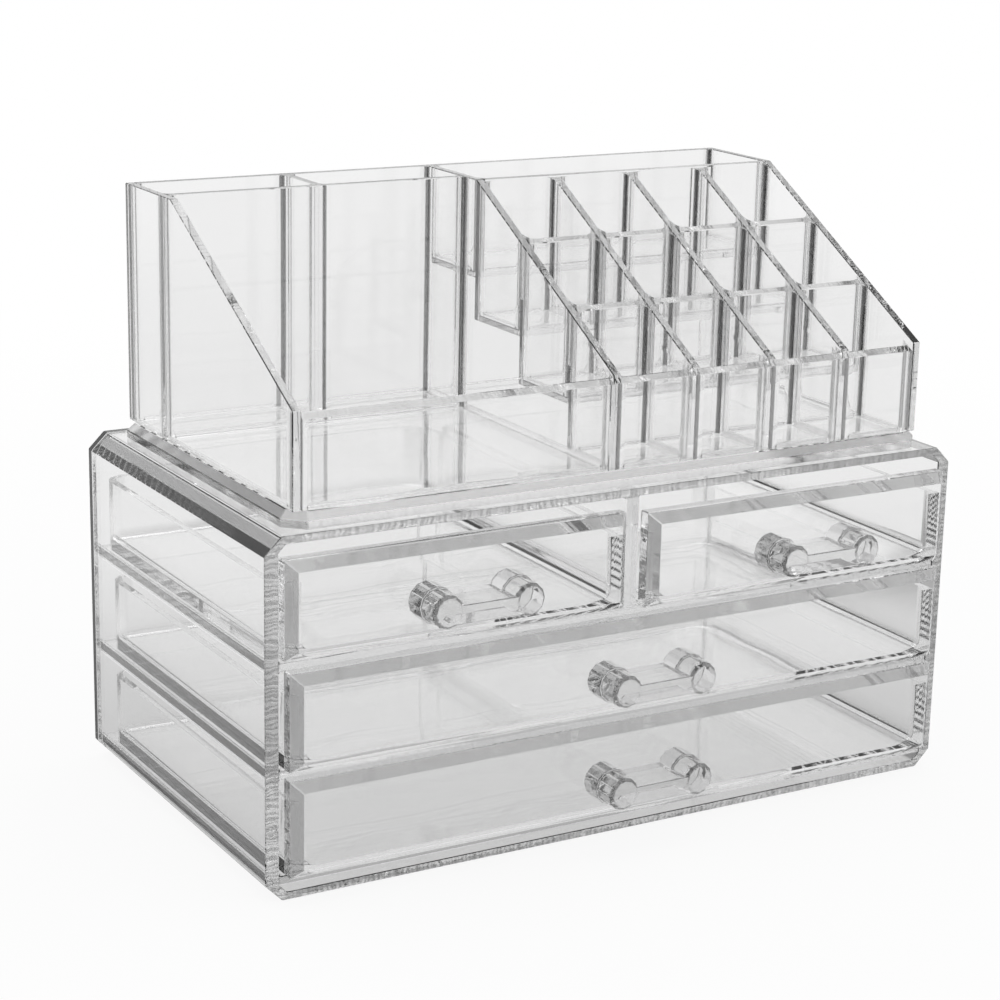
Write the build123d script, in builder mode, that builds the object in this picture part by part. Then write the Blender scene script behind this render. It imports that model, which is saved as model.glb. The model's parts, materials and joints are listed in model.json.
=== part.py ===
from build123d import *
import os

# Clear cosmetics organiser: a low case with four drawers, and a stepped tray that stands on it.
# Millimetres, +Z up. The origin is on the ground, at the centre of the overall footprint.
# +X is to the right of someone who faces the drawers, and -Y points at that person.

# ---- the case: an octagonal sleeve, closed at the back, with three level panels inside ----
CASE_WIDTH = 240.0
CASE_DEPTH = 129.0  # the sleeve, without its back panel
BACK_PANEL = 3.0
SIDE_WALL = 4.4
LEVEL_WALL = 2.5  # top and bottom walls of the sleeve
OUTER_BEVEL = 5.3
INNER_BEVEL = 2.4
SHELF = 2.8
SHELF_PITCH = 32.0  # from one level panel to the next
FLOOR_PANEL_TOP = 7.7
HEADROOM = 2.2  # what the top bay has above one pitch
CENTRE_DIVIDER = 4.4

# ---- the drawers: a round-cornered box, a thick bevelled front and a cut-glass handle ----
FRONT_PROUD = 7.2  # face of a closed drawer front, in front of the case
FRONT_GAP = 0.3  # between a closed drawer front and the panel edges behind it
FRONT_SIDE_GAP = 1.3  # beside a drawer front, to the sleeve
FRONT_DIVIDER_GAP = 0.5  # beside a drawer front, to the centre divider
FRONT_HEIGHT = 29.7
FRONT_BEVEL = 3.0
RUNNING_GAP = 0.3  # under a drawer
BOX_INSET = 0.3  # of the box from the ends of its front
BOX_HEIGHT = 22.4
BOX_WALL = 2.4
BOX_REAR_GAP = 3.9  # behind a closed box, to the back panel
BOX_CORNER = 5.0  # inside upright corners
BOX_FILLET = 3.0  # along the inside of the floor
BOX_CORNER_OPENING = 0.4  # how far the hollow runs past the front end, so that it opens on the front
PUSHED_IN = 3.4  # how much deeper the upper left drawer is pushed than the others

HANDLE_LENGTH = 14.5
HANDLE_SPACING = 26.4  # between the axes of the two posts
HANDLE_DROP = 1.4  # of the posts' axes below the middle of the drawer front
POST_SIDES = 12
POST_FOOT_RADIUS = 5.7
POST_FOOT_LENGTH = 7.0
POST_RADIUS = 5.1
POST_BEVEL = 1.0
WEB_RISE = 1.6  # top of the web above the posts' axes
WEB_THICKNESS = 5.6
WEB_SETBACK = 0.3  # of the web from the face of the posts

# ---- the tray: thin upright walls on a bevelled base ----
TRAY_INSET_SIDE = 3.2  # of the base from the flat part of the case top
TRAY_INSET_FRONT = 2.5
TRAY_INSET_BACK = 5.6
TRAY_BASE = 4.9
TRAY_BASE_BEVEL = 2.4
TRAY_BASE_CORNER = 6.0
TRAY_WALL = 2.7
TRAY_HEIGHT = 79.7
FRONT_CORNER_HEIGHT = 33.6  # of the side walls at the front
SLOPE_RUN = 84.0  # of the side walls' sloped edge, from the front
FRONT_WALL_STEP = 2.6  # of the front wall below the side walls' corners
CROSS_WALL = 2.2
FRONT_SLOT_LENGTH = 23.4
MIDDLE_SLOT_LENGTH = 26.6
REAR_SLOT_LENGTH = 26.0
SLOT_COLUMNS = 4
SLOT_BLOCK_WIDTH = 114.1
TALL_COMPARTMENT_LENGTH = 22.4
STEP_FLOOR = 2.1
MIDDLE_SLOT_RISE = 16.2  # top of the middle slots' floor above the base
REAR_SLOT_RISE = 31.4
LONG_COMPARTMENT_RISE = 45.0

# ---- places that follow from those sizes ----
CASE_FRONT = (FRONT_PROUD + HANDLE_LENGTH - CASE_DEPTH - BACK_PANEL) / 2
CASE_BACK = CASE_FRONT + CASE_DEPTH
CASE_INSIDE = CASE_WIDTH / 2 - SIDE_WALL
BAY_CEILING = FLOOR_PANEL_TOP + 3 * SHELF_PITCH + HEADROOM
CASE_HEIGHT = BAY_CEILING + LEVEL_WALL
LOWER_SHELF_TOP = FLOOR_PANEL_TOP + SHELF_PITCH
UPPER_SHELF_TOP = LOWER_SHELF_TOP + SHELF_PITCH
BOX_LENGTH = CASE_DEPTH + FRONT_GAP - BOX_REAR_GAP
FRONT_THICKNESS = FRONT_PROUD - FRONT_GAP

BASE_TOP = CASE_HEIGHT + TRAY_BASE
BASE_RIGHT = CASE_WIDTH / 2 - OUTER_BEVEL - TRAY_INSET_SIDE
BASE_FRONT = CASE_FRONT + TRAY_INSET_FRONT
BASE_BACK = CASE_BACK + BACK_PANEL - TRAY_INSET_BACK
TRAY_RIGHT = BASE_RIGHT - TRAY_BASE_BEVEL
TRAY_FRONT = BASE_FRONT + TRAY_BASE_BEVEL
TRAY_BACK = BASE_BACK - TRAY_BASE_BEVEL
TRAY_TOP = CASE_HEIGHT + TRAY_HEIGHT
CORNER_TOP = CASE_HEIGHT + FRONT_CORNER_HEIGHT
SLOPE = (TRAY_TOP - CORNER_TOP) / SLOPE_RUN

INNER_RIGHT = TRAY_RIGHT - TRAY_WALL
INNER_BACK = TRAY_BACK - TRAY_WALL
FRONT_ROW = TRAY_FRONT + TRAY_WALL
CROSS_FRONT = FRONT_ROW + FRONT_SLOT_LENGTH
MIDDLE_ROW = CROSS_FRONT + CROSS_WALL
CROSS_REAR = MIDDLE_ROW + MIDDLE_SLOT_LENGTH
REAR_ROW = CROSS_REAR + CROSS_WALL
BLOCK_BACK = REAR_ROW + REAR_SLOT_LENGTH
MIDDLE_WALL = INNER_BACK - TALL_COMPARTMENT_LENGTH - TRAY_WALL
BLOCK_LEFT = TRAY_RIGHT - SLOT_BLOCK_WIDTH
BLOCK_INNER_LEFT = BLOCK_LEFT + TRAY_WALL
SLOT_WIDTH = (INNER_RIGHT - BLOCK_INNER_LEFT - (SLOT_COLUMNS - 1) * TRAY_WALL) / SLOT_COLUMNS
SLOT_DIVIDERS = [
    BLOCK_INNER_LEFT + SLOT_WIDTH + column * (SLOT_WIDTH + TRAY_WALL) for column in range(SLOT_COLUMNS - 1)
]
TALL_DIVIDER = (BLOCK_LEFT - INNER_RIGHT - TRAY_WALL) / 2
MIDDLE_FLOOR = BASE_TOP + MIDDLE_SLOT_RISE
REAR_FLOOR = BASE_TOP + REAR_SLOT_RISE
LONG_FLOOR = BASE_TOP + LONG_COMPARTMENT_RISE


def slope_at(y):
    """Height of the tray's sloped edge at a depth y: level behind the slope's top."""
    return TRAY_TOP - SLOPE * max(0.0, TRAY_FRONT + SLOPE_RUN - y)


def front_wall_at(y):
    """Height of the front wall's top, which runs parallel to the slope, a step below it."""
    return slope_at(y) - FRONT_WALL_STEP


# Height at which a slot divider and a cross wall change places in their halved joint.
HALVING_FRONT = (BASE_TOP + slope_at(CROSS_FRONT)) / 2
HALVING_REAR = (MIDDLE_FLOOR + slope_at(CROSS_REAR)) / 2


def block(x_span, y_span, z_span, mode=Mode.ADD):
    """Add or cut a rectangular block, given by its low and high faces along each axis."""
    spans = (x_span, y_span, z_span)
    with Locations(tuple((low + high) / 2 for low, high in spans)):
        Box(*(high - low for low, high in spans), mode=mode)


def save(builder, label):
    """Name the finished piece and write it to its own file."""
    builder.part.label = label
    export_step(builder.part, f"parts/{label}.step")


def octagon(half_width, low, high, bevel):
    """Corners of a bevelled rectangle, anticlockwise, as (x, z) pairs."""
    return [
        (-half_width + bevel, low),
        (half_width - bevel, low),
        (half_width, low + bevel),
        (half_width, high - bevel),
        (half_width - bevel, high),
        (-half_width + bevel, high),
        (-half_width, high - bevel),
        (-half_width, low + bevel),
    ]


def upright(y):
    """An upright plane across the case at depth y, with x to the right, z up and its normal to the front."""
    return Plane(origin=(0, y, 0), x_dir=(1, 0, 0), z_dir=(0, -1, 0))


# ================================= case =================================
def make_case_sleeve():
    """The outer case: a tube whose four long corners are bevelled, outside and inside."""
    with BuildPart() as sleeve:
        with BuildSketch(upright(CASE_FRONT)):
            with BuildLine():
                Polyline(*octagon(CASE_WIDTH / 2, 0, CASE_HEIGHT, OUTER_BEVEL), close=True)
            make_face()
            with BuildLine():
                Polyline(*octagon(CASE_INSIDE, LEVEL_WALL, BAY_CEILING, INNER_BEVEL), close=True)
            make_face(mode=Mode.SUBTRACT)
        extrude(amount=-CASE_DEPTH)
    save(sleeve, "case_sleeve")


def make_case_back_panel():
    """The plate that closes the sleeve behind, with the sleeve's own outline."""
    with BuildPart() as back:
        with BuildSketch(upright(CASE_BACK)):
            with BuildLine():
                Polyline(*octagon(CASE_WIDTH / 2, 0, CASE_HEIGHT, OUTER_BEVEL), close=True)
            make_face()
        extrude(amount=-BACK_PANEL)
    save(back, "case_back_panel")


def make_level_panel(label, top):
    """A level panel that a drawer slides on, the full width and depth of the sleeve's inside."""
    with BuildPart() as panel:
        block((-CASE_INSIDE, CASE_INSIDE), (CASE_FRONT, CASE_BACK), (top - SHELF, top))
    save(panel, label)


def make_centre_divider():
    """The upright panel between the two upper drawers."""
    with BuildPart() as divider:
        block(
            (-CENTRE_DIVIDER / 2, CENTRE_DIVIDER / 2),
            (CASE_FRONT, CASE_BACK),
            (UPPER_SHELF_TOP, BAY_CEILING),
        )
    save(divider, "drawer_divider")


# =============================== drawers ================================
def make_drawer_front(label, x_span, face, bottom):
    """A thick front plate with a wide bevel all round its face."""
    with BuildPart() as front:
        block(x_span, (face, face + FRONT_THICKNESS), (bottom, bottom + FRONT_HEIGHT))
        chamfer(front.faces().sort_by(Axis.Y)[0].edges(), length=FRONT_BEVEL)
    save(front, label)


def make_drawer_box(label, x_span, start, bottom):
    """A shallow box, open above and closed in front by its plate, with rounded corners inside."""
    low, high = x_span[0] + BOX_INSET, x_span[1] - BOX_INSET
    end = start + BOX_LENGTH
    floor = bottom + BOX_WALL
    hollow_start = start - BOX_CORNER_OPENING
    hollow_end = end - BOX_WALL
    hollow_centre = ((low + high) / 2, (hollow_start + hollow_end) / 2, floor)
    with BuildPart() as box:
        block((low, high), (start, end), (bottom, bottom + BOX_HEIGHT))
        rear_corners = box.edges().filter_by(Axis.Z).group_by(Axis.Y)[-1]
        fillet(rear_corners, radius=BOX_CORNER + BOX_WALL)
        with BuildSketch(Plane(origin=hollow_centre)):
            RectangleRounded(high - low - 2 * BOX_WALL, hollow_end - hollow_start, BOX_CORNER)
        extrude(amount=BOX_HEIGHT, mode=Mode.SUBTRACT)
        fillet(box.faces().filter_by(Plane.XY).sort_by(Axis.Z)[1].edges().filter_by(
            lambda edge: edge.center().Y > start + BOX_CORNER_OPENING), radius=BOX_FILLET)
    save(box, label)


def make_drawer_handle(label, centre_x, face, axis_z):
    """Two faceted posts, thicker at the foot, joined by a level web: one moulded piece."""
    posts = [(centre_x - HANDLE_SPACING / 2, axis_z), (centre_x + HANDLE_SPACING / 2, axis_z)]
    tip = face - HANDLE_LENGTH
    web_top = axis_z + WEB_RISE
    with BuildPart() as handle:
        with BuildSketch(upright(face)):
            with Locations(*posts):
                RegularPolygon(POST_RADIUS, POST_SIDES)
        extrude(amount=HANDLE_LENGTH)
        tips = handle.faces().filter_by(Axis.Y).group_by(Axis.Y)[0]
        chamfer(tips.edges(), length=POST_BEVEL)
        with BuildSketch(upright(face)):
            with Locations(*posts):
                RegularPolygon(POST_FOOT_RADIUS, POST_SIDES)
        extrude(amount=POST_FOOT_LENGTH)
        block((posts[0][0], posts[1][0]), (tip + WEB_SETBACK, face), (web_top - WEB_THICKNESS, web_top))
    save(handle, label)


def make_drawer(name, x_span, shelf_top, pushed_in=0.0):
    """One drawer, on the panel whose top is given; pushed_in moves it back from the closed place."""
    face = CASE_FRONT - FRONT_PROUD + pushed_in
    bottom = shelf_top + RUNNING_GAP
    make_drawer_front(f"{name}_drawer_front", x_span, face, bottom)
    make_drawer_box(f"{name}_drawer_box", x_span, face + FRONT_THICKNESS, bottom)
    make_drawer_handle(
        f"{name}_drawer_handle", sum(x_span) / 2, face, bottom + FRONT_HEIGHT / 2 - HANDLE_DROP
    )


# ================================= tray =================================
def make_tray_base():
    """The flat base, with cut corners and a bevel up to the foot of the walls."""
    with BuildPart() as base:
        block((-BASE_RIGHT, BASE_RIGHT), (BASE_FRONT, BASE_BACK), (CASE_HEIGHT, BASE_TOP))
        chamfer(base.edges().filter_by(Axis.Z), length=TRAY_BASE_CORNER)
        chamfer(base.faces().sort_by(Axis.Z)[-1].edges(), length=TRAY_BASE_BEVEL)
    save(base, "tray_base")


def make_outlined_plate(label, x_start, thickness, outline):
    """An upright plate across the tray's width direction, cut to an outline of (y, z) corners."""
    with BuildPart() as plate:
        with BuildSketch(Plane.YZ.offset(x_start)):
            with BuildLine():
                Polyline(*outline, close=True)
            make_face()
        extrude(amount=thickness)
    save(plate, label)


def make_tray_side_walls():
    """The two outer side walls: level behind, sloped down to the front."""
    outline = [
        (TRAY_FRONT, BASE_TOP),
        (TRAY_BACK, BASE_TOP),
        (TRAY_BACK, TRAY_TOP),
        (TRAY_FRONT + SLOPE_RUN, TRAY_TOP),
        (TRAY_FRONT, CORNER_TOP),
    ]
    make_outlined_plate("tray_left_wall", -TRAY_RIGHT, TRAY_WALL, outline)
    make_outlined_plate("tray_right_wall", INNER_RIGHT, TRAY_WALL, outline)


def make_tray_front_wall():
    """The low front wall, between the side walls; its top is cut parallel to the slope."""
    outline = [
        (TRAY_FRONT, BASE_TOP),
        (FRONT_ROW, BASE_TOP),
        (FRONT_ROW, front_wall_at(FRONT_ROW)),
        (TRAY_FRONT, front_wall_at(TRAY_FRONT)),
    ]
    make_outlined_plate("tray_front_wall", -INNER_RIGHT, 2 * INNER_RIGHT, outline)


def make_tray_panel(label, x_span, y_span, z_span):
    """A plain rectangular plate of the tray."""
    with BuildPart() as panel:
        block(x_span, y_span, z_span)
    save(panel, label)


def make_slot_block_side_wall():
    """The long wall between the open front tray and the slots, reaching over the front wall."""
    outline = [
        (FRONT_ROW, BASE_TOP),
        (INNER_BACK, BASE_TOP),
        (INNER_BACK, TRAY_TOP),
        (TRAY_FRONT + SLOPE_RUN, TRAY_TOP),
        (TRAY_FRONT, CORNER_TOP),
        (TRAY_FRONT, front_wall_at(TRAY_FRONT)),
        (FRONT_ROW, front_wall_at(FRONT_ROW)),
    ]
    make_outlined_plate("slot_block_side_wall", BLOCK_LEFT, TRAY_WALL, outline)


def make_slot_divider(label, x_start):
    """A divider along the slots: it stands on each step and is halved over both cross walls."""
    outline = [
        (FRONT_ROW, BASE_TOP),
        (CROSS_FRONT, BASE_TOP),
        (CROSS_FRONT, HALVING_FRONT),
        (MIDDLE_ROW, HALVING_FRONT),
        (MIDDLE_ROW, MIDDLE_FLOOR),
        (CROSS_REAR, MIDDLE_FLOOR),
        (CROSS_REAR, HALVING_REAR),
        (REAR_ROW, HALVING_REAR),
        (REAR_ROW, REAR_FLOOR),
        (BLOCK_BACK, REAR_FLOOR),
        (BLOCK_BACK, slope_at(BLOCK_BACK)),
        (TRAY_FRONT, CORNER_TOP),
        (TRAY_FRONT, front_wall_at(TRAY_FRONT)),
        (FRONT_ROW, front_wall_at(FRONT_ROW)),
    ]
    make_outlined_plate(label, x_start, TRAY_WALL, outline)


def make_slot_cross_wall(label, start, bottom, halving):
    """A riser of the steps and the wall between two rows of slots, slotted for the dividers."""
    end = start + CROSS_WALL
    outline = [(start, bottom), (end, bottom), (end, slope_at(end)), (start, slope_at(start))]
    with BuildPart() as wall:
        with BuildSketch(Plane.YZ.offset(BLOCK_INNER_LEFT)):
            with BuildLine():
                Polyline(*outline, close=True)
            make_face()
        extrude(amount=INNER_RIGHT - BLOCK_INNER_LEFT)
        for x_start in SLOT_DIVIDERS:
            block((x_start, x_start + TRAY_WALL), (start, end), (halving, TRAY_TOP), mode=Mode.SUBTRACT)
    save(wall, label)


def make_case():
    make_case_sleeve()
    make_case_back_panel()
    make_level_panel("case_floor_panel", FLOOR_PANEL_TOP)
    make_level_panel("lower_shelf", LOWER_SHELF_TOP)
    make_level_panel("upper_shelf", UPPER_SHELF_TOP)
    make_centre_divider()


def make_drawers():
    outer = CASE_INSIDE - FRONT_SIDE_GAP
    inner = CENTRE_DIVIDER / 2 + FRONT_DIVIDER_GAP
    make_drawer("upper_left", (-outer, -inner), UPPER_SHELF_TOP, PUSHED_IN)
    make_drawer("upper_right", (inner, outer), UPPER_SHELF_TOP)
    make_drawer("middle", (-outer, outer), LOWER_SHELF_TOP)
    make_drawer("lower", (-outer, outer), FLOOR_PANEL_TOP)


def make_tray():
    full_width = (-INNER_RIGHT, INNER_RIGHT)
    left_part = (-INNER_RIGHT, BLOCK_LEFT)
    block_width = (BLOCK_INNER_LEFT, INNER_RIGHT)
    full_height = (BASE_TOP, TRAY_TOP)
    make_tray_base()
    make_tray_side_walls()
    make_tray_front_wall()
    make_tray_panel("tray_back_wall", full_width, (INNER_BACK, TRAY_BACK), full_height)
    make_tray_panel("tray_middle_wall", left_part, (MIDDLE_WALL, MIDDLE_WALL + TRAY_WALL), full_height)
    make_tray_panel(
        "tall_compartment_divider",
        (TALL_DIVIDER, TALL_DIVIDER + TRAY_WALL),
        (MIDDLE_WALL + TRAY_WALL, INNER_BACK),
        full_height,
    )
    make_slot_block_side_wall()
    for label, x_start in zip(("left", "centre", "right"), SLOT_DIVIDERS):
        make_slot_divider(f"slot_divider_{label}", x_start)
    make_tray_panel(
        "slot_block_back_wall",
        block_width,
        (BLOCK_BACK, BLOCK_BACK + TRAY_WALL),
        (REAR_FLOOR - STEP_FLOOR, TRAY_TOP),
    )
    make_slot_cross_wall("rear_cross_wall", CROSS_REAR, MIDDLE_FLOOR - STEP_FLOOR, HALVING_REAR)
    make_slot_cross_wall("front_cross_wall", CROSS_FRONT, BASE_TOP, HALVING_FRONT)
    floors = {
        "long_compartment_floor": ((BLOCK_BACK + TRAY_WALL, INNER_BACK), LONG_FLOOR),
        "rear_slot_floor": ((REAR_ROW, BLOCK_BACK), REAR_FLOOR),
        "middle_slot_floor": ((MIDDLE_ROW, CROSS_REAR), MIDDLE_FLOOR),
    }
    for label, (y_span, top) in floors.items():
        make_tray_panel(label, block_width, y_span, (top - STEP_FLOOR, top))


os.makedirs("parts", exist_ok=True)
make_case()
make_drawers()
make_tray()
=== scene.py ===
"""Looks for a clear acrylic cosmetics organiser: a case with four drawers and a stepped tray on top.

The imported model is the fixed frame. This script gives its plates, mouldings and edges their finishes,
adds the fine detail that sits on them, and sets up the camera, the lamps and a white studio.
"""

import json
import logging
import math
from dataclasses import dataclass
from enum import Enum
from typing import Any

import bmesh
import bpy
from mathutils import Matrix, Vector

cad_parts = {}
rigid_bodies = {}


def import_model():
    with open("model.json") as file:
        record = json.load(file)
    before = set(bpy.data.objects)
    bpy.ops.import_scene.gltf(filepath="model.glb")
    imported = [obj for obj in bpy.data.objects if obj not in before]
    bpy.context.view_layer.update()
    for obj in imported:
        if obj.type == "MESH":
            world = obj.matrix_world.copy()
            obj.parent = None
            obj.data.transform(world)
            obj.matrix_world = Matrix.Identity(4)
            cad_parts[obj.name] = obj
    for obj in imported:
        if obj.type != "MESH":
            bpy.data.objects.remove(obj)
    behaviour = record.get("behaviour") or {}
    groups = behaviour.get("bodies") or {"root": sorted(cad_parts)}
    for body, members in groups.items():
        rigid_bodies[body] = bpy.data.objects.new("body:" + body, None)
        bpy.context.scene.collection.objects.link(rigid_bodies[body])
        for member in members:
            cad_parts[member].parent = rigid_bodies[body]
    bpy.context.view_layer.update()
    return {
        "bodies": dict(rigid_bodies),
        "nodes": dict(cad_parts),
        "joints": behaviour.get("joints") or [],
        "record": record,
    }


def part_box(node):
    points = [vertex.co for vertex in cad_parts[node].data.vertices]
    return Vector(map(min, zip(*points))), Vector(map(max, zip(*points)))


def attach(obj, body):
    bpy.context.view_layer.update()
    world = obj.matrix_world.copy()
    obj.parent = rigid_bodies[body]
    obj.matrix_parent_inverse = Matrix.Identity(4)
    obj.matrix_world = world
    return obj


LOG = logging.getLogger("organiser")
WHITE = (1.0, 1.0, 1.0, 1.0)
BLACK = (0.0, 0.0, 0.0, 1.0)
SAME_PLACE = 1e-5


class Signal:
    """One output socket of a shader graph, on which Python's operators add Math nodes."""

    def __init__(self, graph: "Graph", socket: "bpy.types.NodeSocket | None") -> None:
        """Keep the socket and the graph that it belongs to."""
        self.graph = graph
        self.socket = socket

    def _math(self, operation: str, *values: "Signal | float") -> "Signal":
        """Return a Math node's result.

        Args:
            operation: The Math node's operation.
            values: Its inputs in order.

        Returns:
            The node's output.
        """
        inputs = dict(enumerate(values))
        return self.graph.node("ShaderNodeMath", {"operation": operation}, inputs)

    def __add__(self, other: "Signal | float") -> "Signal":
        """Return self + other."""
        return self._math("ADD", self, other)

    __radd__ = __add__

    def __sub__(self, other: "Signal | float") -> "Signal":
        """Return self - other."""
        return self._math("SUBTRACT", self, other)

    def __rsub__(self, other: float) -> "Signal":
        """Return other - self."""
        return self._math("SUBTRACT", other, self)

    def __mul__(self, other: "Signal | float") -> "Signal":
        """Return self * other."""
        return self._math("MULTIPLY", self, other)

    __rmul__ = __mul__

    def __abs__(self) -> "Signal":
        """Return the absolute value."""
        return self._math("ABSOLUTE", self)

    def larger(self, other: "Signal | float") -> "Signal":
        """Return the larger of self and other."""
        return self._math("MAXIMUM", self, other)

    def step(self, start: float, end: float) -> "Signal":
        """Return 0 before start and 1 after end, with a smooth rise between them."""
        settings = {"interpolation_type": "SMOOTHSTEP"}
        inputs = {"Value": self, "From Min": start, "From Max": end}
        return self.graph.node("ShaderNodeMapRange", settings, inputs)


class Graph:
    """The node tree of a material or a world."""

    def __init__(self, owner: "bpy.types.Material | bpy.types.World") -> None:
        """Empty the owner's node tree and take it over."""
        owner.use_nodes = True
        self.tree = owner.node_tree
        self.tree.nodes.clear()

    def node(
        self,
        kind: str,
        settings: "dict[str, Any] | None" = None,
        inputs: "dict[str | int, Any] | None" = None,
        output: "str | int" = 0,
    ) -> Signal:
        """Add a node.

        Args:
            kind: The node's type.
            settings: Attributes of the node, set before its sockets.
            inputs: Values or signals by socket name or number.
            output: The socket to return.

        Returns:
            That output socket as a signal.
        """
        node = self.tree.nodes.new(kind)
        for name, value in (settings or {}).items():
            setattr(node, name, value)
        for key, value in (inputs or {}).items():
            if isinstance(value, Signal):
                self.tree.links.new(value.socket, node.inputs[key])
            else:
                node.inputs[key].default_value = value
        return Signal(self, node.outputs[output] if node.outputs else None)

    def vector(self, operation: str, first: Any, second: Any, output: "str | int" = 0) -> Signal:
        """Return a Vector Math node's result on two vectors."""
        return self.node("ShaderNodeVectorMath", {"operation": operation}, {0: first, 1: second}, output)

    def parts(self, vector: Signal) -> "tuple[Signal, Signal, Signal]":
        """Return the three parts of a vector."""
        x, y, z = (self.node("ShaderNodeSeparateXYZ", {}, {"Vector": vector}, axis) for axis in "XYZ")
        return x, y, z

    def lines(self, along: Signal, detail: float) -> Signal:
        """Return a noise that varies only with one value, so that it makes lines across it."""
        inputs = {"W": along, "Scale": 1.0, "Detail": detail}
        return self.node("ShaderNodeTexNoise", {"noise_dimensions": "1D"}, inputs, "Fac")

    def ray(self, *kinds: str) -> Signal:
        """Return 1 for the named kinds of ray, such as Is Camera Ray, and 0 for others."""
        found = [self.node("ShaderNodeLightPath", output=kind) for kind in kinds]
        total = found[0]
        for other in found[1:]:
            total = total.larger(other)
        return total


class Thin(Enum):
    """The direction in which a plate is thin: its two polished faces look that way."""

    ACROSS = (1.0, 0.0, 0.0)
    DEPTH = (0.0, 1.0, 0.0)
    LEVEL = (0.0, 0.0, 1.0)


@dataclass(frozen=True)
class ClearAcrylic:
    """A clear acrylic plate: slightly wavy polished faces, and finely rippled edges."""

    name: str
    thin: Thin
    tint: "tuple[float, float, float, float]" = (0.993, 0.993, 0.993, 1.0)
    shade: "tuple[float, float, float, float]" = (0.985, 0.985, 0.985, 1.0)
    index: float = 1.49
    loss: float = 1.5
    # Painted shade: the grey that bevels take in the base colour, standing in for dark reflections; 1.0
    # paints none.
    painted_bevel_shade: float = 1.0
    bevel_haze: float = 0.0
    edge_haze: float = 0.02
    wave_size: float = 0.03
    wave_height: float = 0.0001
    ripple_size: float = 0.0014
    ripple_height: float = 0.00004
    face_limits: "tuple[float, float]" = (0.45, 0.8)
    bevel_limits: "tuple[float, float]" = (0.4, 0.47)
    slant_start: "tuple[float, float]" = (0.4, 0.5)
    slant_end: "tuple[float, float]" = (0.85, 0.95)

    def face(self, graph: Graph, normal: Signal) -> Signal:
        """Return 1 on the faces that look the way the plate is thin, and 0 elsewhere."""
        return abs(graph.vector("DOT_PRODUCT", normal, self.thin.value, "Value")).step(*self.face_limits)

    def slanted(self, facing: Signal) -> Signal:
        """Return 1 on the faces that look half towards a direction, and 0 on those square to it."""
        return facing.step(*self.slant_start) * (1 - facing.step(*self.slant_end))

    def edge(self, graph: Graph, normal: Signal) -> Signal:
        """Return 1 on the edges and 0 on the polished faces."""
        return 1 - self.face(graph, normal)

    def bevel(self, graph: Graph, normal: Signal) -> Signal:
        """Return 1 on the faces turned half across and half to the front or back, and 0 elsewhere."""
        across, deep, _ = graph.parts(normal)
        return abs(across * deep).step(*self.bevel_limits)

    def dark(self, bevel: Signal, edge: Signal, ripples: Signal) -> Signal:
        """Return how far the surface takes the painted bevel shade, a grey in the base colour."""
        return bevel

    def waves(self, graph: Graph, place: Signal) -> Signal:
        """Return the broad waves of the polished faces."""
        inputs = {"Vector": place, "Scale": 1 / self.wave_size, "Detail": 0.0}
        return graph.node("ShaderNodeTexNoise", {}, inputs, "Fac")

    def ripples(self, graph: Graph, place: Signal, normal: Signal) -> Signal:
        """Return the fine ripples that run across the edges."""
        length = graph.vector("CROSS_PRODUCT", normal, self.thin.value)
        along = graph.vector("DOT_PRODUCT", place, length, "Value") * (1 / self.ripple_size)
        return graph.lines(along, 1.0)

    def build(self) -> bpy.types.Material:
        """Return the material."""
        material = bpy.data.materials.new(self.name)
        graph = Graph(material)
        place = graph.node("ShaderNodeTexCoord", output="Object")
        normal = graph.node("ShaderNodeTexCoord", output="Normal")
        edge = self.edge(graph, normal)
        ripples = self.ripples(graph, place, normal)
        height = self.waves(graph, place) * (1 - edge) * self.wave_height
        height = height + ripples * edge * self.ripple_height
        bevel = self.bevel(graph, normal)
        colour = self.tint
        # Painted shade: the base colour is mixed towards a grey on the bevels, in place of the dark
        # reflections seen there.
        if self.painted_bevel_shade < 1.0:
            shades = {0: self.dark(bevel, edge, ripples), 6: self.tint, 7: (*[self.painted_bevel_shade] * 3, 1.0)}
            colour = graph.node("ShaderNodeMix", {"data_type": "RGBA"}, shades, 2)
        bump = {"Height": height, "Distance": 1.0, "Strength": 1.0}
        body = graph.node(
            "ShaderNodeBsdfPrincipled",
            {},
            {
                "Base Color": colour,
                "Roughness": edge * ripples * self.edge_haze + bevel * self.bevel_haze,
                "IOR": self.index,
                "Transmission Weight": 1.0,
                "Normal": graph.node("ShaderNodeBump", {}, bump),
            },
        )
        passing = graph.node("ShaderNodeBsdfTransparent", {}, {"Color": self.shade})
        shadow = graph.ray("Is Shadow Ray")
        surface = graph.node("ShaderNodeMixShader", {}, {0: shadow, 1: body, 2: passing})
        loss = {"Color": BLACK, "Density": self.loss}
        inside = graph.node("ShaderNodeVolumeAbsorption", {}, loss)
        graph.node("ShaderNodeOutputMaterial", {}, {"Surface": surface, "Volume": inside})
        return material


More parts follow.
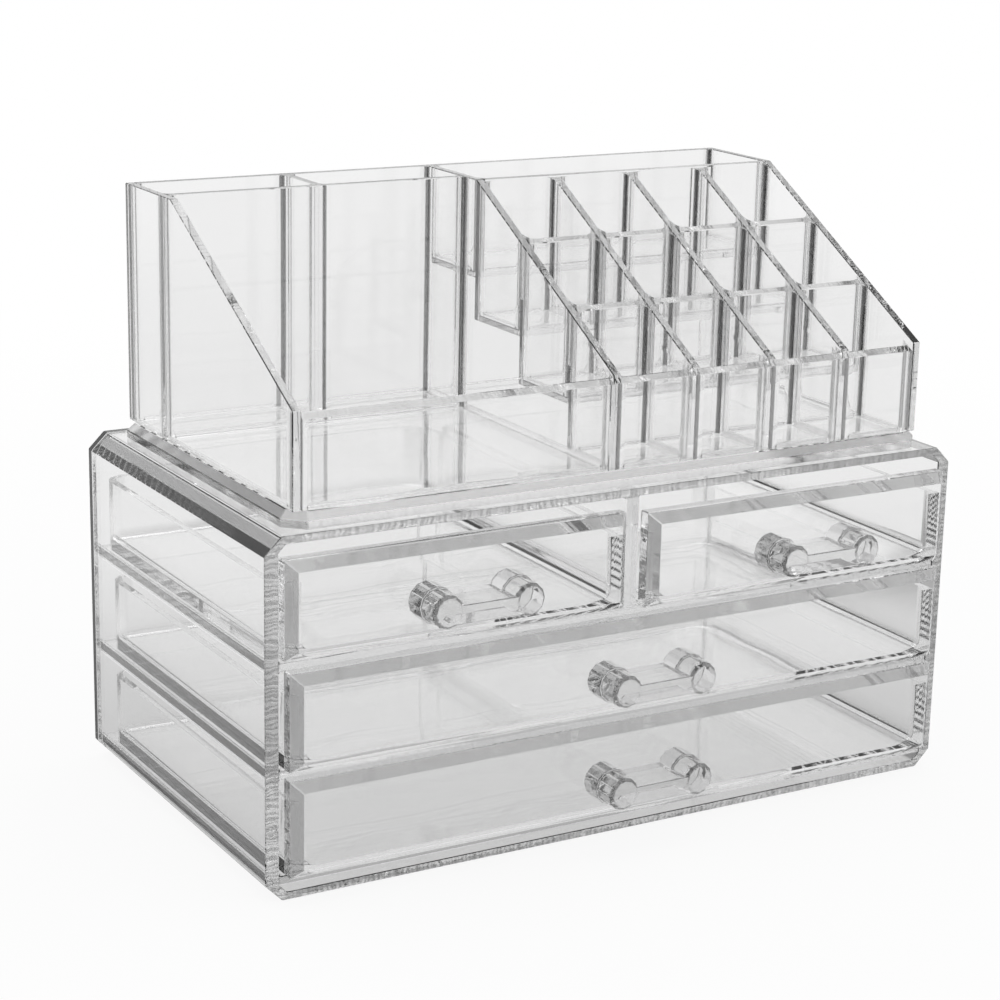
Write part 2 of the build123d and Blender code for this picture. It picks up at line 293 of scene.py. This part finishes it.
@dataclass(frozen=True)
class ExtrudedAcrylic(ClearAcrylic):
    """The sleeve: its walls run from front to back, and its cut ends show fine saw ripples. Shade is painted
    into its colour: grey on the long bevels, and dark lines along the ripples of the cut ends.
    """

    thin: Thin = Thin.DEPTH
    # Painted shade: the grey that the long bevels take in the base colour.
    painted_bevel_shade: float = 0.42
    ripple_size: float = 0.0011
    ripple_height: float = 0.00012
    bevel_haze: float = 0.12
    post: float = 0.1095
    post_blend: float = 0.001
    # Painted shade: where the ripples give dark lines on the cut ends, and how dark those lines are.
    painted_shade_line_limits: "tuple[float, float]" = (0.44, 0.56)
    painted_shade_line_share: float = 0.9
    bend_scale: float = 250.0
    bend: float = 2.0

    def dark(self, bevel: Signal, edge: Signal, ripples: Signal) -> Signal:
        """Return the painted shade: the bevels, and fine dark lines along the real ripples of the cut ends.
        """
        return bevel.larger(edge * ripples.step(*self.painted_shade_line_limits) * self.painted_shade_line_share)

    def bevel(self, graph: Graph, normal: Signal) -> Signal:
        """Return 1 on the four long bevels and 0 elsewhere."""
        across, _, rise = graph.parts(normal)
        return abs(across * rise).step(*self.bevel_limits)

    def edge(self, graph: Graph, normal: Signal) -> Signal:
        """Return 1 on the cut ends and 0 on the walls."""
        return self.face(graph, normal)

    def ripples(self, graph: Graph, place: Signal, normal: Signal) -> Signal:
        """Return the fine ripples of the cut ends: across the posts, and across the rims between them."""
        across, _, rise = graph.parts(place)
        post = abs(across).step(self.post - self.post_blend, self.post + self.post_blend)
        inputs = {"Vector": place, "Scale": self.bend_scale, "Detail": 0.0}
        bend = graph.node("ShaderNodeTexNoise", {}, inputs, "Fac") * self.bend
        return graph.lines((across + (rise - across) * post) * (1 / self.ripple_size) + bend, 0.0)


@dataclass(frozen=True)
class MouldedAcrylic(ClearAcrylic):
    """A small moulding: no cut edges, and the faint waves that the flow into the mould leaves."""

    thin: Thin = Thin.LEVEL
    wave_size: float = 0.018
    wave_height: float = 0.00005
    mark_share: float = 0.2

    def edge(self, graph: Graph, normal: Signal) -> Signal:
        """Return a little on upright faces and 0 on level ones, for the faint marks of the mould."""
        return super().edge(graph, normal) * self.mark_share


@dataclass(frozen=True)
class FrontAcrylic(ClearAcrylic):
    """A drawer's front: a thick plate whose side and top bevels have painted shade, a grey in the base
    colour.
    """

    thin: Thin = Thin.DEPTH
    loss: float = 0.8
    painted_bevel_shade: float = 0.36
    top_painted_shade_share: float = 0.6

    def bevel(self, graph: Graph, normal: Signal) -> Signal:
        """Return where the painted shade goes: 1 on the side bevels, less on the top one and 0 elsewhere."""
        across, deep, rise = graph.parts(normal)
        side = abs(across * deep).step(*self.bevel_limits)
        return side.larger((rise * deep * -1).step(*self.bevel_limits) * self.top_painted_shade_share)


@dataclass(frozen=True)
class RimAcrylic(ClearAcrylic):
    """The tray's base: smooth all over, its bevelled rim faintly hazy."""

    thin: Thin = Thin.LEVEL
    loss: float = 1.0
    edge_haze: float = 0.3
    ripple_height: float = 0.0
    bevel_haze: float = 0.3

    def bevel(self, graph: Graph, normal: Signal) -> Signal:
        """Return 1 on the bevelled rim and 0 elsewhere."""
        _, _, rise = graph.parts(normal)
        return self.slanted(rise)


@dataclass(frozen=True)
class HandleAcrylic(MouldedAcrylic):
    """A handle: its thick posts take a little light, and the ring round each tip has painted shade, a dark
    grey in the base colour.
    """

    loss: float = 10.0
    painted_bevel_shade: float = 0.16

    def bevel(self, graph: Graph, normal: Signal) -> Signal:
        """Return 1 on the ring round each tip, where the shade is painted, and 0 elsewhere."""
        _, deep, _ = graph.parts(normal)
        return self.slanted(abs(deep))


@dataclass(frozen=True)
class Slope:
    """The tray's profile: level behind, and falling to the front."""

    front: float
    front_height: float
    start: float
    top: float

    @classmethod
    def of(cls, wall: bpy.types.Object) -> "Slope":
        """Read the profile from a side wall's corners."""
        corners = [vertex.co for vertex in wall.data.vertices]
        front = min(corner.y for corner in corners)
        top = max(corner.z for corner in corners)
        front_height = max(corner.z for corner in corners if corner.y < front + SAME_PLACE)
        start = min(corner.y for corner in corners if corner.z > top - SAME_PLACE)
        return cls(front, front_height, start, top)

    def at(self, y: float) -> float:
        """Return the height of the slope at a depth."""
        share = min(1.0, (y - self.front) / (self.start - self.front))
        return self.front_height + (self.top - self.front_height) * share


class Beads:
    """A mesh of small solids with a hollow face, as cement or a moulding radius leaves them in a corner."""

    steps: int = 6
    wall_gap: float = 0.00002
    sharp_angle: float = math.radians(30)

    def __init__(self) -> None:
        """Start with no corners and no faces."""
        self.points: "list[Vector]" = []
        self.faces: "list[tuple[int, ...]]" = []

    def profile(self, radius: float, signs: "tuple[int, int]") -> "list[tuple[float, float]]":
        """Return the outline of a bead in the plane across it.

        Args:
            radius: The radius of its hollow face.
            signs: On which side of the corner it lies, in each direction.

        Returns:
            Its corners, the first one in the corner itself.
        """
        gap = self.wall_gap
        outline = [(signs[0] * gap, signs[1] * gap)]
        for step in range(self.steps + 1):
            turn = math.pi / 2 * step / self.steps
            reach = radius * (1 - math.sin(turn)) + gap, radius * (1 - math.cos(turn)) + gap
            outline.append((signs[0] * reach[0], signs[1] * reach[1]))
        return outline

    def add(self, ends: "tuple[list[Vector], list[Vector]]") -> None:
        """Add one bead, given the outlines of its two ends."""
        count, base = len(ends[0]), len(self.points)
        self.points += [*ends[0], *ends[1]]
        ring = range(count)
        self.faces.append(tuple(base + i for i in reversed(ring)))
        self.faces.append(tuple(base + count + i for i in ring))
        for i in ring:
            j = (i + 1) % count
            self.faces.append((base + i, base + j, base + count + j, base + count + i))

    def piece(self, name: str, material: bpy.types.Material) -> bpy.types.Object:
        """Return the beads as one object, with outward faces and a smooth hollow side."""
        mesh = bpy.data.meshes.new(name)
        mesh.from_pydata(self.points, [], self.faces)
        shape = bmesh.new()
        shape.from_mesh(mesh)
        bmesh.ops.recalc_face_normals(shape, faces=shape.faces)
        shape.to_mesh(mesh)
        shape.free()
        mesh.shade_smooth()
        mesh.set_sharp_from_angle(angle=self.sharp_angle)
        mesh.materials.append(material)
        piece = bpy.data.objects.new(name, mesh)
        bpy.context.scene.collection.objects.link(piece)
        return piece


@dataclass
class Assembly:
    """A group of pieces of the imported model, dressed together."""

    frame: "dict[str, Any]"
    joined_corner: float = 0.000002
    joint_gap: float = 0.00005
    eased_edge: float = 0.00025
    eased_angle: float = math.radians(25)

    def dress(self, node: str, material: bpy.types.Material) -> None:
        """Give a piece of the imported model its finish, eased edges and a hair of air at its joints."""
        piece = self.frame["nodes"][node]
        for place in piece.material_slots:
            place.material = material
        weld = piece.modifiers.new("joined_corners", "WELD")
        weld.merge_threshold = self.joined_corner
        gap = piece.modifiers.new("joint_gap", "DISPLACE")
        gap.mid_level, gap.strength = 0.0, -self.joint_gap
        ease = piece.modifiers.new("eased_edges", "BEVEL")
        ease.width, ease.segments, ease.angle_limit = self.eased_edge, 1, self.eased_angle
        LOG.info("%s: %s", node, material.name)

    def place(self, beads: Beads, name: str, body: str, slot: str, material: bpy.types.Material) -> None:
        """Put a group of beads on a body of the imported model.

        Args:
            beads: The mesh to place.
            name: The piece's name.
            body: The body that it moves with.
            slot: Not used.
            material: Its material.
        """
        piece = beads.piece(name, material)
        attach(piece, body)
        LOG.info("%s on %s", name, body)


@dataclass(frozen=True)
class Pocket:
    """One compartment of the tray: the walls round it and the panel below it."""

    name: str
    left: str
    right: str
    front: str
    back: str
    floor: str
    upright_radius: float = 0.0028
    floor_radius: float = 0.0016
    foot_gap: float = 0.00003
    tip_gap: float = 0.0001
    end_gap: float = 0.0001

    def build(self, slope: Slope, front_drop: float) -> Beads:
        """Return the beads in the corners of the compartment.

        Args:
            slope: The tray's profile.
            front_drop: How far the tray's front wall lies below that profile.

        Returns:
            Four upright beads and four round the floor.
        """
        x_low, x_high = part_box(self.left)[1].x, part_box(self.right)[0].x
        y_low, y_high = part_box(self.front)[1].y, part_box(self.back)[0].y
        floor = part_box(self.floor)[1].z
        beads = Beads()
        for x, x_sign in ((x_low, 1), (x_high, -1)):
            for y, y_sign in ((y_low, 1), (y_high, -1)):
                profile = beads.profile(self.upright_radius, (x_sign, y_sign))
                outline = [Vector((x + across, y + deep, 0)) for across, deep in profile]
                drop = front_drop if self.front == "tray_front_wall" and y == y_low else 0.0
                feet = [Vector((point.x, point.y, floor + self.foot_gap)) for point in outline]
                lowered = drop + self.tip_gap
                tips = [Vector((point.x, point.y, slope.at(point.y) - lowered)) for point in outline]
                beads.add((feet, tips))
        inset = self.upright_radius + self.end_gap
        for x, x_sign in ((x_low, 1), (x_high, -1)):
            outline = beads.profile(self.floor_radius, (x_sign, 1))
            ends = [
                [Vector((x + across, y, floor + rise)) for across, rise in outline]
                for y in (y_low + inset, y_high - inset)
            ]
            beads.add((ends[0], ends[1]))
        for y, y_sign in ((y_low, 1), (y_high, -1)):
            outline = beads.profile(self.floor_radius, (y_sign, 1))
            ends = [
                [Vector((x, y + deep, floor + rise)) for deep, rise in outline]
                for x in (x_low + inset, x_high - inset)
            ]
            beads.add((ends[0], ends[1]))
        return beads


@dataclass(frozen=True)
class Bay:
    """One drawer's opening in the case: the panel below it, what is above it and its two sides."""

    name: str
    left: float
    right: float
    below: float
    above: float
    radius: float = 0.0009

    def build(self, depth: "tuple[float, float]", sides: "tuple[tuple[int, int], ...]") -> Beads:
        """Return the beads along the corners of the bay.

        Args:
            depth: Where the beads start and end, from front to back.
            sides: The corners to fill, as -1 or 1 for left or right and for below or above.

        Returns:
            One bead for each of those corners.
        """
        beads = Beads()
        for across, up in sides:
            x, z = (self.left if across < 0 else self.right), (self.below if up < 0 else self.above)
            outline = beads.profile(self.radius, (-across, -up))
            ends = [[Vector((x + dx, y, z + dz)) for dx, dz in outline] for y in depth]
            beads.add((ends[0], ends[1]))
        return beads


@dataclass
class Case(Assembly):
    """The sleeve, its back, its three level panels and the upright divider."""

    setback: float = 0.0006

    def add_beads(self) -> None:
        """Fill the corners where the level panels and the divider meet the sleeve."""
        lowest, lower, upper = (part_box(node) for node in ("case_floor_panel", "lower_shelf", "upper_shelf"))
        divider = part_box("drawer_divider")
        depth = lowest[0].y + self.setback, lowest[1].y - self.setback
        top = divider[1].z
        every = ((-1, -1), (1, -1), (-1, 1), (1, 1))
        not_top_left, not_top_right = (every[0], every[1], every[3]), (every[0], every[1], every[2])
        bays = (
            (Bay("lower_bay", lowest[0].x, lowest[1].x, lowest[1].z, lower[0].z), every),
            (Bay("middle_bay", lower[0].x, lower[1].x, lower[1].z, upper[0].z), every),
            (Bay("upper_left_bay", upper[0].x, divider[0].x, upper[1].z, top), not_top_left),
            (Bay("upper_right_bay", divider[1].x, upper[1].x, upper[1].z, top), not_top_right),
        )
        material = MouldedAcrylic("case_bead_acrylic").build()
        for bay, sides in bays:
            self.place(bay.build(depth, sides), f"{bay.name}_corner_beads", "case", "case_acrylic", material)

    def build(self) -> None:
        """Dress the case."""
        self.dress("case_sleeve", ExtrudedAcrylic("case_sleeve_acrylic").build())
        self.dress("case_back_panel", ClearAcrylic("case_back_acrylic", Thin.DEPTH).build())
        level = ClearAcrylic("case_level_acrylic", Thin.LEVEL).build()
        for node in ("case_floor_panel", "lower_shelf", "upper_shelf"):
            self.dress(node, level)
        self.dress("drawer_divider", ClearAcrylic("case_divider_acrylic", Thin.ACROSS).build())
        self.add_beads()


@dataclass
class Drawers(Assembly):
    """The four drawers, each a front, a box and a handle."""

    names: "tuple[str, ...]" = ("upper_left_drawer", "upper_right_drawer", "middle_drawer", "lower_drawer")

    def build(self) -> None:
        """Dress every drawer."""
        front = FrontAcrylic("drawer_front_acrylic").build()
        box = MouldedAcrylic("drawer_box_acrylic").build()
        handle = HandleAcrylic("drawer_handle_acrylic").build()
        for name in self.names:
            self.dress(f"{name}_front", front)
            self.dress(f"{name}_box", box)
            self.dress(f"{name}_handle", handle)


@dataclass
class Tray(Assembly):
    """The stepped tray: its base, walls, dividers and raised floors."""

    across: "tuple[str, ...]" = (
        "tray_left_wall",
        "tray_right_wall",
        "tall_compartment_divider",
        "slot_block_side_wall",
        "slot_divider_left",
        "slot_divider_centre",
        "slot_divider_right",
    )
    depth: "tuple[str, ...]" = (
        "tray_back_wall",
        "tray_front_wall",
        "tray_middle_wall",
        "slot_block_back_wall",
        "rear_cross_wall",
        "front_cross_wall",
    )
    level: "tuple[str, ...]" = ("long_compartment_floor", "rear_slot_floor", "middle_slot_floor")
    across_loss: float = 2.0
    depth_loss: float = 4.0
    level_loss: float = 1.5
    # Painted shade: the near-black grey of the beads' hollow faces, which darkens the corners.
    bead_painted_shade: float = 0.08

    def build(self) -> None:
        """Dress the tray's plates by the way they face."""
        groups = (
            (Thin.ACROSS, self.across, self.across_loss),
            (Thin.DEPTH, self.depth, self.depth_loss),
            (Thin.LEVEL, self.level, self.level_loss),
        )
        for thin, nodes, loss in groups:
            material = ClearAcrylic(f"tray_{thin.name.lower()}_acrylic", thin, loss=loss).build()
            for node in nodes:
                self.dress(node, material)
        self.dress("tray_base", RimAcrylic("tray_base_acrylic").build())
        self.add_beads()

    def pockets(self) -> "list[Pocket]":
        """Return the tray's compartments."""
        left_wall, right_wall, side_wall = "tray_left_wall", "tray_right_wall", "slot_block_side_wall"
        front_wall, middle_wall, back_wall = "tray_front_wall", "tray_middle_wall", "tray_back_wall"
        divider, block_back, base = "tall_compartment_divider", "slot_block_back_wall", "tray_base"
        long_floor = "long_compartment_floor"
        found = [
            Pocket("left_tall", left_wall, divider, middle_wall, back_wall, base),
            Pocket("right_tall", divider, side_wall, middle_wall, back_wall, base),
            Pocket("open_tray", left_wall, side_wall, front_wall, middle_wall, base),
            Pocket("long_compartment", side_wall, right_wall, block_back, back_wall, long_floor),
        ]
        walls = (side_wall, "slot_divider_left", "slot_divider_centre", "slot_divider_right", right_wall)
        rows = (
            ("front", front_wall, "front_cross_wall", base),
            ("middle", "front_cross_wall", "rear_cross_wall", "middle_slot_floor"),
            ("rear", "rear_cross_wall", block_back, "rear_slot_floor"),
        )
        for row, front, back, floor in rows:
            for column, (left, right) in enumerate(zip(walls, walls[1:]), 1):
                found.append(Pocket(f"{row}_slot_{column}", left, right, front, back, floor))
        return found

    def add_beads(self) -> None:
        """Fill the inside corners of every compartment with their small radii, with shade painted near black
        down the middle of the upright beads' hollow faces.
        """
        slope = Slope.of(self.frame["nodes"]["tray_left_wall"])
        wall_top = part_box("tray_front_wall")[1]
        front_drop = slope.at(wall_top.y) - wall_top.z
        # The beads' material paints shade into their hollow faces with the tone above.
        material = MouldedAcrylic("tray_bead_acrylic", painted_bevel_shade=self.bead_painted_shade).build()
        for pocket in self.pockets():
            beads = pocket.build(slope, front_drop)
            self.place(beads, f"{pocket.name}_corner_beads", "tray", "tray_acrylic", material)


@dataclass
class Studio:
    """The camera, the lamps, the white floor and the surroundings that the acrylic shows."""

    camera_place: Vector = Vector((-0.40020, -0.66245, 0.30690))
    target: Vector = Vector((-0.00716, 0.01087, 0.08911))
    roll: float = math.radians(1.24)
    lens: float = 91.61
    sensor: float = 36.0
    sight: "tuple[float, float]" = (0.01, 50.0)
    lamp_aim: Vector = Vector((0, 0, 0.1))
    floor_half: float = 6.0
    floor_drop: float = 0.0002
    floor_tone: float = 0.95
    floor_lift: float = 0.9
    lift_reach: "tuple[float, float]" = (0.2, 0.8)
    # Seen through the acrylic: the table's tone under the object, darkened there as a painted shadow, and its
    # tone far from it.
    table_through: "tuple[float, float]" = (0.56, 0.86)
    painted_shadow_reach: "tuple[float, float]" = (0.08, 0.35)
    painted_side_shade_reach: "tuple[float, float]" = (0.2, 0.3)
    table_reach: float = 0.9
    table_fade: "tuple[float, float]" = (0.8, 1.4)
    backdrop_way: "tuple[float, float, float]" = (0.5, 0.866, 0.0)
    backdrop_turn: "tuple[float, float]" = (-0.3, 0.5)
    backdrop: float = 0.93
    room: float = 0.56
    ceiling: float = 0.75
    ceiling_rise: "tuple[float, float]" = (0.5, 0.8)
    dark_sides: "tuple[tuple[float, float], ...]" = ((92.0, 30.0), (-97.0, 35.0))
    dark_blur: float = 0.02
    dark_height: float = 0.2
    height_blur: float = 0.04
    dark_share: float = 0.65
    ambient: float = 0.55
    bounces: int = 48
    transmission_bounces: int = 40
    glossy_bounces: int = 24
    transparent_bounces: int = 64

    def camera(self) -> None:
        """Place the camera where the photograph was taken from."""
        forward = (self.target - self.camera_place).normalized()
        level = forward.cross(Vector((0, 0, 1))).normalized()
        rise = level.cross(forward)
        right = math.cos(self.roll) * level + math.sin(self.roll) * rise
        up = math.cos(self.roll) * rise - math.sin(self.roll) * level
        data = bpy.data.cameras.new("camera")
        data.sensor_fit = "HORIZONTAL"
        data.sensor_width = self.sensor
        data.lens = self.lens
        data.clip_start, data.clip_end = self.sight
        camera = bpy.data.objects.new("camera", data)
        turn = Matrix((right, up, -forward)).transposed().to_4x4()
        camera.matrix_world = Matrix.Translation(self.camera_place) @ turn
        bpy.context.scene.collection.objects.link(camera)
        bpy.context.scene.camera = camera

    def lamp(self, name: str, place: Vector, width: float, height: float, power: float) -> None:
        """Add a soft rectangular lamp that looks at the object.

        Args:
            name: Its name.
            place: Its middle.
            width: Its width in metres.
            height: Its height in metres.
            power: Its power in watts.
        """
        data = bpy.data.lights.new(name, "AREA")
        data.shape = "RECTANGLE"
        data.size, data.size_y, data.energy = width, height, power
        lamp = bpy.data.objects.new(name, data)
        turn = (self.lamp_aim - place).to_track_quat("-Z", "Y").to_matrix().to_4x4()
        lamp.matrix_world = Matrix.Translation(place) @ turn
        bpy.context.scene.collection.objects.link(lamp)

    def lamps(self) -> None:
        """Add a large soft lamp overhead and two weaker ones at the sides."""
        self.lamp("overhead", Vector((0.1, 0.1, 1.5)), width=1.6, height=1.2, power=9.0)
        self.lamp("left", Vector((-1.5, -0.6, 0.9)), width=0.8, height=1.0, power=3.0)
        self.lamp("right", Vector((1.5, -0.3, 0.9)), width=0.8, height=1.0, power=2.0)

    def sides(self, graph: Graph, way: Signal) -> Signal:
        """Return the share of light that is missing towards the unlit sides of the room, and 0 elsewhere."""
        flat = graph.vector("NORMALIZE", graph.vector("MULTIPLY", way, (1.0, 1.0, 0.0)), (0.0, 0.0, 0.0))
        dark = None
        for middle, half in self.dark_sides:
            turn, edge = math.radians(middle), math.radians(half)
            towards = graph.vector("DOT_PRODUCT", flat, (math.sin(turn), math.cos(turn), 0.0), "Value")
            found = towards.step(math.cos(edge + self.dark_blur), math.cos(edge - self.dark_blur))
            dark = found if dark is None else dark.larger(found)
        return dark * self.dark_share

    def floor(self) -> None:
        """Add the white floor, which keeps a faint shadow and looks like a grey table through the acrylic.
        That table's glow has a shadow painted into it near the object, and painted shade towards the unlit
        sides.
        """
        half = self.floor_half
        corners = [(-half, -half, 0), (half, -half, 0), (half, half, 0), (-half, half, 0)]
        mesh = bpy.data.meshes.new("floor")
        mesh.from_pydata(corners, [], [(0, 1, 2, 3)])
        floor = bpy.data.objects.new("floor", mesh)
        floor.location.z = -self.floor_drop
        bpy.context.scene.collection.objects.link(floor)
        material = bpy.data.materials.new("floor_white")
        graph = Graph(material)
        matt = graph.node("ShaderNodeBsdfDiffuse", {}, {"Color": (*[self.floor_tone] * 3, 1.0)})
        place = graph.node("ShaderNodeTexCoord", output="Object")
        distance = graph.node("ShaderNodeVectorMath", {"operation": "LENGTH"}, {0: place}, "Value")
        lift = self.floor_lift + distance.step(*self.lift_reach) * (1 - self.floor_lift)
        white = graph.node("ShaderNodeEmission", {}, {"Color": WHITE, "Strength": 1.0})
        lifted = graph.ray("Is Camera Ray") * lift
        straight = graph.node("ShaderNodeMixShader", {}, {0: lifted, 1: matt, 2: white})
        # Painted shadow: the table glows darker near the object, and darker still towards the unlit sides.
        near, far = self.table_through
        shade = near + distance.step(*self.painted_shadow_reach) * (far - near)
        shade = shade * (1 - self.sides(graph, place) * distance.step(*self.painted_side_shade_reach))
        table = graph.node("ShaderNodeEmission", {}, {"Color": WHITE, "Strength": shade})
        beyond = graph.node("ShaderNodeBsdfTransparent", {}, {"Color": WHITE})
        fade_start, fade_end = self.table_fade
        past_table = distance.step(self.table_reach * fade_start, self.table_reach * fade_end)
        through = graph.node("ShaderNodeMixShader", {}, {0: past_table, 1: table, 2: beyond})
        bent = graph.ray("Is Glossy Ray", "Is Transmission Ray")
        surface = graph.node("ShaderNodeMixShader", {}, {0: bent, 1: straight, 2: through})
        graph.node("ShaderNodeOutputMaterial", {}, {"Surface": surface})
        mesh.materials.append(material)

    def surroundings(self) -> None:
        """Make the world white to the camera, and a grey room with two unlit sides to the acrylic."""
        world = bpy.data.worlds.new("studio")
        bpy.context.scene.world = world
        graph = Graph(world)
        way = graph.node("ShaderNodeTexCoord", output="Generated")
        rise = graph.node("ShaderNodeSeparateXYZ", {}, {"Vector": way}, "Z")
        facing = graph.vector("DOT_PRODUCT", way, self.backdrop_way, "Value").step(*self.backdrop_turn)
        wall = self.room + facing * (self.backdrop - self.room)
        wall = wall + rise.step(*self.ceiling_rise) * (self.ceiling - wall)
        low = 1 - rise.step(self.dark_height - self.height_blur, self.dark_height + self.height_blur)
        wall = wall * (1 - self.sides(graph, way) * low)
        glass = graph.ray("Is Glossy Ray", "Is Transmission Ray")
        level = glass * wall + (1 - glass) * self.ambient
        seen = graph.ray("Is Camera Ray")
        strength = seen + (1 - seen) * level
        light = graph.node("ShaderNodeBackground", {}, {"Color": WHITE, "Strength": strength})
        graph.node("ShaderNodeOutputWorld", {}, {"Surface": light})

    def build(self) -> None:
        """Set up the whole studio."""
        scene = bpy.context.scene
        scene.view_settings.view_transform = "Standard"
        scene.cycles.max_bounces = self.bounces
        scene.cycles.transmission_bounces = self.transmission_bounces
        scene.cycles.glossy_bounces = self.glossy_bounces
        scene.cycles.transparent_max_bounces = self.transparent_bounces
        scene.cycles.caustics_reflective = False
        scene.cycles.caustics_refractive = False
        self.camera()
        self.lamps()
        self.floor()
        self.surroundings()


def main() -> None:
    """Build the scene in order and log each part as it is done."""
    logging.basicConfig(level=logging.INFO, format="%(message)s")
    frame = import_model()
    Studio().build()
    for part in (Case(frame), Drawers(frame), Tray(frame)):
        part.build()
        LOG.info("%s done", type(part).__name__)


if __name__ == "__main__":
    main()
